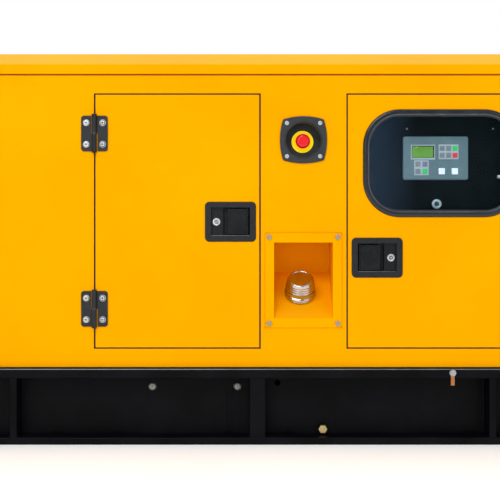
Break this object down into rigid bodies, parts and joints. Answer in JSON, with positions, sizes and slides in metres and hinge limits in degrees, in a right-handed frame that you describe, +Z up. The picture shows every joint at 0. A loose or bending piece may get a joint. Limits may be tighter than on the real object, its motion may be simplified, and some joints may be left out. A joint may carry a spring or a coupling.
{
  "type": "towable diesel generator",
  "caption": "Skid-mounted diesel generating set in a sound-proof canopy with a control window, paddle-latched doors, a recessed fuel filler and a guarded stop button.",
  "frame": {"origin": "on the ground, under the middle of the whole set", "axes": "+X along the set towards the generator and control end, -Y towards the front with the control window, +Z up"},
  "size_m": [2.17, 0.898, 1.111],
  "materials": {
    "canopy_paint": "satin powder coat",
    "skid_paint": "satin paint",
    "hardware_black": "satin powder coat",
    "zinc": "bright zinc",
    "cap_chrome": "polished",
    "drain_brass": "turned",
    "rubber_black": "matt",
    "pane_glass": "clear",
    "plastic_black": "fine grain",
    "plastic_yellow": "gloss",
    "plastic_red": "gloss",
    "controller_blue": "satin",
    "key_grey": "satin",
    "cabinet_black": "satin powder coat",
    "engine_paint": "painted casting",
    "generator_paint": "painted casting",
    "aluminium_cast": "cast",
    "radiator_black": "painted",
    "exhaust_steel": "aluminised",
    "shaft_steel": "machined"
  },
  "bodies": {
    "set": {"front_wall": "canopy_paint", "rear_wall": "canopy_paint", "left_end_wall": "canopy_paint", "right_end_wall": "canopy_paint", "roof": "canopy_paint", "filler_recess": "canopy_paint", "skid_side_rails": "skid_paint", "skid_cross_beams": "skid_paint", "fuel_tank": "skid_paint", "hinge_wall_leaves": "hardware_black", "earth_stud": "zinc", "wall_screws": "zinc", "filler_neck": "zinc", "wall_gaskets": "rubber_black", "filler_hose": "rubber_black", "drive_belt": "rubber_black", "vibration_mounts": "rubber_black", "estop_plate": "plastic_black", "breaker": "plastic_black", "battery": "plastic_black", "estop_ring": "plastic_yellow", "controller": "controller_blue", "controller_keypad": "key_grey", "control_cabinet": "cabinet_black", "engine_block": "engine_paint", "engine_ancillaries": "engine_paint", "generator_housing": "generator_paint", "charging_alternator": "aluminium_cast", "cylinder_head": "aluminium_cast", "radiator": "radiator_black", "muffler": "exhaust_steel"},
    "front_left_door_body": {"front_left_door": "canopy_paint", "front_left_leaves": "hardware_black", "front_left_cup": "hardware_black"},
    "front_right_door_body": {"front_right_door": "canopy_paint", "front_right_leaves": "hardware_black", "front_right_cup": "hardware_black", "window_seal": "rubber_black", "window_pane": "pane_glass"},
    "rear_door_body": {"rear_door": "canopy_paint", "rear_leaves": "hardware_black", "rear_cup": "hardware_black"},
    "front_left_paddle_body": {"front_left_paddle": "hardware_black"},
    "front_right_paddle_body": {"front_right_paddle": "hardware_black"},
    "rear_paddle_body": {"rear_paddle": "hardware_black"},
    "front_left_lock_body": {"front_left_lock": "zinc"},
    "front_right_lock_body": {"front_right_lock": "zinc"},
    "rear_lock_body": {"rear_lock": "zinc"},
    "estop_plunger": {"estop_stem": "plastic_black"},
    "estop_button": {"estop_head": "plastic_red"},
    "cap_seal": {"fuel_cap_gasket": "rubber_black"},
    "cap": {"fuel_cap": "cap_chrome"},
    "crank_train": {"crank_pulley": "shaft_steel", "generator_rotor": "shaft_steel"},
    "fan": {"cooling_fan": "plastic_black"},
    "charger_rotor": {"charging_pulley": "shaft_steel"},
    "cabinet_lock": {"panel_lock": "zinc"},
    "breaker_handle": {"breaker_toggle": "plastic_black"},
    "exhaust_flap": {"rain_flap": "exhaust_steel"},
    "tank_drain": {"drain_plug": "drain_brass"}
  },
  "joints": [
    {"name": "front_left_door_swing", "type": "hinge", "parent": "set", "child": "front_left_door_body", "pos_m": [-0.44, -0.4375, 0.602], "axis": [0, 0, -1], "range_deg": [0, 120]},
    {"name": "front_right_door_swing", "type": "hinge", "parent": "set", "child": "front_right_door_body", "pos_m": [0.755, -0.4375, 0.602], "axis": [0, 0, 1], "range_deg": [0, 120]},
    {"name": "rear_door_swing", "type": "hinge", "parent": "set", "child": "rear_door_body", "pos_m": [-0.44, 0.4375, 0.602], "axis": [0, 0, 1], "range_deg": [0, 120]},
    {"name": "front_left_paddle_pull", "type": "hinge", "parent": "front_left_door_body", "child": "front_left_paddle_body", "pos_m": [-0.027, -0.423, 0.6], "axis": [0, 0, 1], "range_deg": [0, 40], "stiffness_Nm_per_rad": 0.4},
    {"name": "front_right_paddle_pull", "type": "hinge", "parent": "front_right_door_body", "child": "front_right_paddle_body", "pos_m": [0.277, -0.423, 0.503], "axis": [0, 0, -1], "range_deg": [0, 40], "stiffness_Nm_per_rad": 0.4},
    {"name": "rear_paddle_pull", "type": "hinge", "parent": "rear_door_body", "child": "rear_paddle_body", "pos_m": [-0.027, 0.423, 0.6], "axis": [0, 0, -1], "range_deg": [0, 40], "stiffness_Nm_per_rad": 0.4},
    {"name": "front_left_key_turn", "type": "hinge", "parent": "front_left_door_body", "child": "front_left_lock_body", "pos_m": [-0.111, -0.423, 0.6], "axis": [0, -1, 0], "range_deg": [0, 90]},
    {"name": "front_right_key_turn", "type": "hinge", "parent": "front_right_door_body", "child": "front_right_lock_body", "pos_m": [0.361, -0.423, 0.503], "axis": [0, -1, 0], "range_deg": [0, 90]},
    {"name": "rear_key_turn", "type": "hinge", "parent": "rear_door_body", "child": "rear_lock_body", "pos_m": [-0.111, 0.423, 0.6], "axis": [0, 1, 0], "range_deg": [0, 90]},
    {"name": "estop_push", "type": "slide", "parent": "set", "child": "estop_plunger", "axis": [0, 1, 0], "range_m": [0, 0.006], "stiffness_N_per_m": 600},
    {"name": "estop_twist", "type": "hinge", "parent": "estop_plunger", "child": "estop_button", "pos_m": [0.124, -0.4, 0.821], "axis": [0, 1, 0], "range_deg": [0, 45], "stiffness_Nm_per_rad": 0.02},
    {"name": "fuel_cap_lift", "type": "slide", "parent": "set", "child": "cap_seal", "axis": [0, -0.6407, 0.7678], "range_m": [0, 0.06]},
    {"name": "fuel_cap_turn", "type": "hinge", "parent": "cap_seal", "child": "cap", "pos_m": [0.118, -0.3575, 0.4005], "axis": [0, -0.6407, 0.7678], "range_deg": [0, 90]},
    {"name": "crank_turn", "type": "hinge", "parent": "set", "child": "crank_train", "pos_m": [-0.652, 0, 0.47], "axis": [1, 0, 0], "continuous": true},
    {"name": "fan_turn", "type": "hinge", "parent": "set", "child": "fan", "pos_m": [-0.652, 0, 0.645], "axis": [1, 0, 0], "continuous": true},
    {"name": "charger_turn", "type": "hinge", "parent": "set", "child": "charger_rotor", "pos_m": [-0.652, -0.215, 0.595], "axis": [1, 0, 0], "continuous": true},
    {"name": "cabinet_key_turn", "type": "hinge", "parent": "set", "child": "cabinet_lock", "pos_m": [0.497, -0.35, 0.651], "axis": [0, -1, 0], "range_deg": [0, 90]},
    {"name": "breaker_switch", "type": "hinge", "parent": "set", "child": "breaker_handle", "pos_m": [0.4985, -0.346, 0.48], "axis": [1, 0, 0], "range_deg": [-20, 20]},
    {"name": "rain_flap_lift", "type": "hinge", "parent": "set", "child": "exhaust_flap", "pos_m": [-0.848, -0.15, 1.106], "axis": [0, 1, 0], "range_deg": [0, 75]},
    {"name": "drain_plug_draw", "type": "slide", "parent": "set", "child": "tank_drain", "axis": [0, -1, 0], "range_m": [0, 0.02]}
  ],
  "couplings": [
    {"joint": "fan_turn", "follows": "crank_turn", "ratio": 1.3793},
    {"joint": "charger_turn", "follows": "crank_turn", "ratio": 2.3529}
  ]
}
